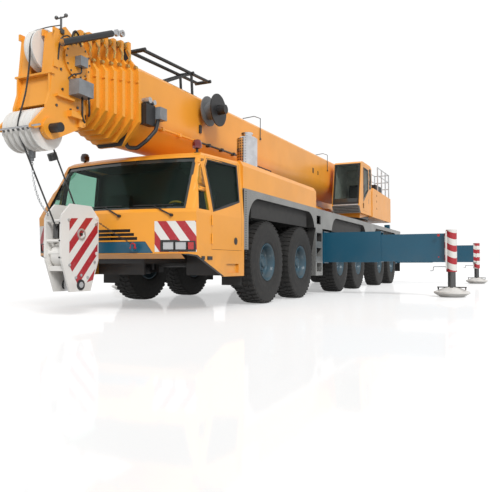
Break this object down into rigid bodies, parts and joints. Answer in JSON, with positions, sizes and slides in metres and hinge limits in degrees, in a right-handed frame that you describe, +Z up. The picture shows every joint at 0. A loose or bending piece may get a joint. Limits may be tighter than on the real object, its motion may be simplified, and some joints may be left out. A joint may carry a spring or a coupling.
{
  "type": "six-axle all-terrain mobile crane",
  "caption": "All-terrain mobile crane with outriggers out, a telescopic boom laid forward over the cab, and a hook block tied back under the boom head.",
  "frame": {"origin": "on the ground under the middle of the crane's bounding box", "axes": "+Z up, the carrier faces -Y, its left side is +X"},
  "size_m": [9.31, 17.606, 4.157],
  "materials": {
    "crane_yellow": "gloss paint",
    "deck_grey": "checkered plate, satin",
    "chassis_dark": "satin paint",
    "outrigger_blue": "gloss paint",
    "tyre_rubber": "matt",
    "window_glass": "tinted",
    "white_paint": "gloss paint",
    "bare_steel": "machined",
    "reel_grey": "satin paint",
    "rope_steel": "greased wire rope"
  },
  "bodies": {
    "carrier": {"chassis_frame": "chassis_dark", "axle_beams": "chassis_dark", "deck_and_fenders": "deck_grey", "engine_housing": "crane_yellow", "engine_block": "chassis_dark", "carrier_cab": "crane_yellow", "carrier_cab_glass": "window_glass"},
    "superstructure": {"superstructure": "crane_yellow", "crane_cab": "crane_yellow", "crane_cab_glass": "window_glass"},
    "cab_door_left": {"cab_door_left": "crane_yellow"},
    "wheel_1_left": {"wheel_1_left": "tyre_rubber"},
    "knuckle_1_left": {"knuckle_1_left": "chassis_dark"},
    "wheel_2_left": {"wheel_2_left": "tyre_rubber"},
    "knuckle_2_left": {"knuckle_2_left": "chassis_dark"},
    "wheel_3_left": {"wheel_3_left": "tyre_rubber"},
    "wheel_4_left": {"wheel_4_left": "tyre_rubber"},
    "wheel_5_left": {"wheel_5_left": "tyre_rubber"},
    "knuckle_5_left": {"knuckle_5_left": "chassis_dark"},
    "wheel_6_left": {"wheel_6_left": "tyre_rubber"},
    "knuckle_6_left": {"knuckle_6_left": "chassis_dark"},
    "cab_door_right": {"cab_door_right": "crane_yellow"},
    "wheel_1_right": {"wheel_1_right": "tyre_rubber"},
    "knuckle_1_right": {"knuckle_1_right": "chassis_dark"},
    "wheel_2_right": {"wheel_2_right": "tyre_rubber"},
    "knuckle_2_right": {"knuckle_2_right": "chassis_dark"},
    "wheel_3_right": {"wheel_3_right": "tyre_rubber"},
    "wheel_4_right": {"wheel_4_right": "tyre_rubber"},
    "wheel_5_right": {"wheel_5_right": "tyre_rubber"},
    "knuckle_5_right": {"knuckle_5_right": "chassis_dark"},
    "wheel_6_right": {"wheel_6_right": "tyre_rubber"},
    "knuckle_6_right": {"knuckle_6_right": "chassis_dark"},
    "outrigger_front_left_outer_beam": {"outrigger_front_left_outer_beam": "outrigger_blue"},
    "outrigger_front_left_inner_beam": {"outrigger_front_left_inner_beam": "outrigger_blue"},
    "outrigger_front_left_foot": {"outrigger_front_left_foot": "white_paint"},
    "outrigger_front_right_outer_beam": {"outrigger_front_right_outer_beam": "outrigger_blue"},
    "outrigger_front_right_inner_beam": {"outrigger_front_right_inner_beam": "outrigger_blue"},
    "outrigger_front_right_foot": {"outrigger_front_right_foot": "white_paint"},
    "outrigger_rear_left_outer_beam": {"outrigger_rear_left_outer_beam": "outrigger_blue"},
    "outrigger_rear_left_inner_beam": {"outrigger_rear_left_inner_beam": "outrigger_blue"},
    "outrigger_rear_left_foot": {"outrigger_rear_left_foot": "white_paint"},
    "outrigger_rear_right_outer_beam": {"outrigger_rear_right_outer_beam": "outrigger_blue"},
    "outrigger_rear_right_inner_beam": {"outrigger_rear_right_inner_beam": "outrigger_blue"},
    "outrigger_rear_right_foot": {"outrigger_rear_right_foot": "white_paint"},
    "crane_cab_door": {"crane_cab_door": "crane_yellow"},
    "hoist_winch_drum": {"hoist_winch_drum": "bare_steel"},
    "boom_base": {"boom_base": "crane_yellow"},
    "boom_section_1": {"boom_section_1": "crane_yellow"},
    "boom_section_2": {"boom_section_2": "crane_yellow"},
    "boom_section_3": {"boom_section_3": "crane_yellow"},
    "boom_section_4": {"boom_section_4": "crane_yellow"},
    "boom_section_5": {"boom_section_5": "crane_yellow"},
    "boom_section_6": {"boom_section_6": "crane_yellow"},
    "lift_cylinder_barrel": {"lift_cylinder_barrel": "crane_yellow"},
    "lift_cylinder_rod": {"lift_cylinder_rod": "bare_steel"},
    "cable_reel": {"cable_reel": "reel_grey"},
    "head_sheaves": {"head_sheaves": "white_paint"},
    "top_sheave": {"top_sheave": "white_paint"},
    "hoist_falls": {"hoist_falls": "rope_steel"},
    "hook_block": {"hook_block": "white_paint"}
  },
  "joints": [
    {"name": "cab_door_left_hinge", "type": "hinge", "parent": "carrier", "child": "cab_door_left", "pos_m": [1.487, -6.51, 1.2], "axis": [0, 0, -1], "range_deg": [0, 70]},
    {"name": "wheel_1_left_spin", "type": "hinge", "parent": "knuckle_1_left", "child": "wheel_1_left", "pos_m": [1.285, -4.4175, 0.745], "axis": [1, 0, 0], "continuous": true},
    {"name": "wheel_2_left_spin", "type": "hinge", "parent": "knuckle_2_left", "child": "wheel_2_left", "pos_m": [1.285, -2.6675, 0.745], "axis": [1, 0, 0], "continuous": true},
    {"name": "wheel_3_left_spin", "type": "hinge", "parent": "carrier", "child": "wheel_3_left", "pos_m": [1.285, 0.2825, 0.745], "axis": [1, 0, 0], "continuous": true},
    {"name": "wheel_4_left_spin", "type": "hinge", "parent": "carrier", "child": "wheel_4_left", "pos_m": [1.285, 2.1325, 0.745], "axis": [1, 0, 0], "continuous": true},
    {"name": "wheel_5_left_spin", "type": "hinge", "parent": "knuckle_5_left", "child": "wheel_5_left", "pos_m": [1.285, 4.9325, 0.745], "axis": [1, 0, 0], "continuous": true},
    {"name": "wheel_6_left_spin", "type": "hinge", "parent": "knuckle_6_left", "child": "wheel_6_left", "pos_m": [1.285, 6.9325, 0.745], "axis": [1, 0, 0], "continuous": true},
    {"name": "cab_door_right_hinge", "type": "hinge", "parent": "carrier", "child": "cab_door_right", "pos_m": [-1.487, -6.51, 1.2], "axis": [0, 0, 1], "range_deg": [0, 70]},
    {"name": "wheel_1_right_spin", "type": "hinge", "parent": "knuckle_1_right", "child": "wheel_1_right", "pos_m": [-1.285, -4.4175, 0.745], "axis": [1, 0, 0], "continuous": true},
    {"name": "wheel_2_right_spin", "type": "hinge", "parent": "knuckle_2_right", "child": "wheel_2_right", "pos_m": [-1.285, -2.6675, 0.745], "axis": [1, 0, 0], "continuous": true},
    {"name": "wheel_3_right_spin", "type": "hinge", "parent": "carrier", "child": "wheel_3_right", "pos_m": [-1.285, 0.2825, 0.745], "axis": [1, 0, 0], "continuous": true},
    {"name": "wheel_4_right_spin", "type": "hinge", "parent": "carrier", "child": "wheel_4_right", "pos_m": [-1.285, 2.1325, 0.745], "axis": [1, 0, 0], "continuous": true},
    {"name": "wheel_5_right_spin", "type": "hinge", "parent": "knuckle_5_right", "child": "wheel_5_right", "pos_m": [-1.285, 4.9325, 0.745], "axis": [1, 0, 0], "continuous": true},
    {"name": "wheel_6_right_spin", "type": "hinge", "parent": "knuckle_6_right", "child": "wheel_6_right", "pos_m": [-1.285, 6.9325, 0.745], "axis": [1, 0, 0], "continuous": true},
    {"name": "axle_1_left_steering", "type": "hinge", "parent": "carrier", "child": "knuckle_1_left", "pos_m": [1, -4.4175, 0.745], "axis": [0, 0, 1], "range_deg": [-32, 32]},
    {"name": "axle_1_right_steering", "type": "hinge", "parent": "carrier", "child": "knuckle_1_right", "pos_m": [-1, -4.4175, 0.745], "axis": [0, 0, 1], "range_deg": [-32, 32]},
    {"name": "axle_2_left_steering", "type": "hinge", "parent": "carrier", "child": "knuckle_2_left", "pos_m": [1, -2.6675, 0.745], "axis": [0, 0, 1], "range_deg": [-24, 24]},
    {"name": "axle_2_right_steering", "type": "hinge", "parent": "carrier", "child": "knuckle_2_right", "pos_m": [-1, -2.6675, 0.745], "axis": [0, 0, 1], "range_deg": [-24, 24]},
    {"name": "axle_6_left_steering", "type": "hinge", "parent": "carrier", "child": "knuckle_6_left", "pos_m": [1, 6.9325, 0.745], "axis": [0, 0, 1], "range_deg": [-24, 24]},
    {"name": "axle_6_right_steering", "type": "hinge", "parent": "carrier", "child": "knuckle_6_right", "pos_m": [-1, 6.9325, 0.745], "axis": [0, 0, 1], "range_deg": [-24, 24]},
    {"name": "axle_5_left_steering", "type": "hinge", "parent": "carrier", "child": "knuckle_5_left", "pos_m": [1, 4.9325, 0.745], "axis": [0, 0, 1], "range_deg": [-14.4, 14.4]},
    {"name": "axle_5_right_steering", "type": "hinge", "parent": "carrier", "child": "knuckle_5_right", "pos_m": [-1, 4.9325, 0.745], "axis": [0, 0, 1], "range_deg": [-14.4, 14.4]},
    {"name": "outrigger_front_left_outer_slide", "type": "slide", "parent": "carrier", "child": "outrigger_front_left_outer_beam", "axis": [1, 0, 0], "range_m": [-1.35, 0]},
    {"name": "outrigger_front_left_inner_slide", "type": "slide", "parent": "outrigger_front_left_outer_beam", "child": "outrigger_front_left_inner_beam", "axis": [1, 0, 0], "range_m": [-1.35, 0]},
    {"name": "outrigger_front_left_jack", "type": "slide", "parent": "outrigger_front_left_inner_beam", "child": "outrigger_front_left_foot", "axis": [0, 0, 1], "range_m": [0, 0.3]},
    {"name": "outrigger_front_right_outer_slide", "type": "slide", "parent": "carrier", "child": "outrigger_front_right_outer_beam", "axis": [-1, 0, 0], "range_m": [-1.35, 0]},
    {"name": "outrigger_front_right_inner_slide", "type": "slide", "parent": "outrigger_front_right_outer_beam", "child": "outrigger_front_right_inner_beam", "axis": [-1, 0, 0], "range_m": [-1.35, 0]},
    {"name": "outrigger_front_right_jack", "type": "slide", "parent": "outrigger_front_right_inner_beam", "child": "outrigger_front_right_foot", "axis": [0, 0, 1], "range_m": [0, 0.3]},
    {"name": "outrigger_rear_left_outer_slide", "type": "slide", "parent": "carrier", "child": "outrigger_rear_left_outer_beam", "axis": [1, 0, 0], "range_m": [-1.35, 0]},
    {"name": "outrigger_rear_left_inner_slide", "type": "slide", "parent": "outrigger_rear_left_outer_beam", "child": "outrigger_rear_left_inner_beam", "axis": [1, 0, 0], "range_m": [-1.35, 0]},
    {"name": "outrigger_rear_left_jack", "type": "slide", "parent": "outrigger_rear_left_inner_beam", "child": "outrigger_rear_left_foot", "axis": [0, 0, 1], "range_m": [0, 0.3]},
    {"name": "outrigger_rear_right_outer_slide", "type": "slide", "parent": "carrier", "child": "outrigger_rear_right_outer_beam", "axis": [-1, 0, 0], "range_m": [-1.35, 0]},
    {"name": "outrigger_rear_right_inner_slide", "type": "slide", "parent": "outrigger_rear_right_outer_beam", "child": "outrigger_rear_right_inner_beam", "axis": [-1, 0, 0], "range_m": [-1.35, 0]},
    {"name": "outrigger_rear_right_jack", "type": "slide", "parent": "outrigger_rear_right_inner_beam", "child": "outrigger_rear_right_foot", "axis": [0, 0, 1], "range_m": [0, 0.3]},
    {"name": "slewing", "type": "hinge", "parent": "carrier", "child": "superstructure", "pos_m": [0, 3.5525, 2.06], "axis": [0, 0, 1], "continuous": true},
    {"name": "crane_cab_door_hinge", "type": "hinge", "parent": "superstructure", "child": "crane_cab_door", "pos_m": [1.486, 3.445, 3], "axis": [0, 0, 1], "range_deg": [0, 90]},
    {"name": "winch_spin", "type": "hinge", "parent": "superstructure", "child": "hoist_winch_drum", "pos_m": [0, 6.3625, 2.62], "axis": [1, 0, 0], "continuous": true},
    {"name": "boom_luff", "type": "hinge", "parent": "superstructure", "child": "boom_base", "pos_m": [0, 5.1825, 3.15], "axis": [-1, 0, 0], "range_deg": [0, 82]},
    {"name": "telescope_1", "type": "slide", "parent": "boom_base", "child": "boom_section_1", "axis": [0, -0.9998, -0.0185], "range_m": [0, 10]},
    {"name": "telescope_2", "type": "slide", "parent": "boom_section_1", "child": "boom_section_2", "axis": [0, -0.9998, -0.0185], "range_m": [0, 10]},
    {"name": "telescope_3", "type": "slide", "parent": "boom_section_2", "child": "boom_section_3", "axis": [0, -0.9998, -0.0185], "range_m": [0, 10]},
    {"name": "telescope_4", "type": "slide", "parent": "boom_section_3", "child": "boom_section_4", "axis": [0, -0.9998, -0.0185], "range_m": [0, 10]},
    {"name": "telescope_5", "type": "slide", "parent": "boom_section_4", "child": "boom_section_5", "axis": [0, -0.9998, -0.0185], "range_m": [0, 10]},
    {"name": "telescope_6", "type": "slide", "parent": "boom_section_5", "child": "boom_section_6", "axis": [0, -0.9998, -0.0185], "range_m": [0, 10]},
    {"name": "lift_cylinder_tilt", "type": "hinge", "parent": "superstructure", "child": "lift_cylinder_barrel", "pos_m": [0, 3.4825, 2.33], "axis": [-1, 0, 0], "range_deg": [0, 92]},
    {"name": "lift_cylinder_stroke", "type": "slide", "parent": "lift_cylinder_barrel", "child": "lift_cylinder_rod", "axis": [0, -1, 0.0021], "range_m": [0, 2.369]},
    {"name": "cable_reel_spin", "type": "hinge", "parent": "boom_base", "child": "cable_reel", "pos_m": [0.7, -5.04445, 3.43086], "axis": [1, 0, 0], "continuous": true},
    {"name": "head_sheaves_spin", "type": "hinge", "parent": "boom_section_6", "child": "head_sheaves", "pos_m": [0, -8.5175, 2.4], "axis": [1, 0, 0], "continuous": true},
    {"name": "top_sheave_spin", "type": "hinge", "parent": "boom_section_6", "child": "top_sheave", "pos_m": [0, -8.3375, 3.47], "axis": [1, 0, 0], "continuous": true},
    {"name": "falls_swing", "type": "hinge", "parent": "boom_section_6", "child": "hoist_falls", "pos_m": [0, -8.5175, 2.4], "axis": [1, 0, 0], "range_deg": [0, 50]},
    {"name": "hook_block_swing", "type": "hinge", "parent": "hoist_falls", "child": "hook_block", "pos_m": [0, -7.7875, 1.12], "axis": [1, 0, 0], "range_deg": [0, 35]}
  ],
  "couplings": [
    {"joint": "axle_1_right_steering", "follows": "axle_1_left_steering", "ratio": 1},
    {"joint": "axle_2_left_steering", "follows": "axle_1_left_steering", "ratio": 0.75},
    {"joint": "axle_2_right_steering", "follows": "axle_1_left_steering", "ratio": 0.75},
    {"joint": "axle_6_right_steering", "follows": "axle_6_left_steering", "ratio": 1},
    {"joint": "axle_5_left_steering", "follows": "axle_6_left_steering", "ratio": 0.6},
    {"joint": "axle_5_right_steering", "follows": "axle_6_left_steering", "ratio": 0.6},
    {"joint": "outrigger_front_left_inner_slide", "follows": "outrigger_front_left_outer_slide", "ratio": 1},
    {"joint": "outrigger_front_right_inner_slide", "follows": "outrigger_front_right_outer_slide", "ratio": 1},
    {"joint": "outrigger_rear_left_inner_slide", "follows": "outrigger_rear_left_outer_slide", "ratio": 1},
    {"joint": "outrigger_rear_right_inner_slide", "follows": "outrigger_rear_right_outer_slide", "ratio": 1},
    {"joint": "lift_cylinder_tilt", "follows": "boom_luff", "ratio": 1.1028},
    {"joint": "lift_cylinder_stroke", "follows": "boom_luff", "m_per_rad": 1.6415},
    {"joint": "falls_swing", "follows": "boom_luff", "ratio": 0.58907},
    {"joint": "hook_block_swing", "follows": "boom_luff", "ratio": 0.41093}
  ]
}
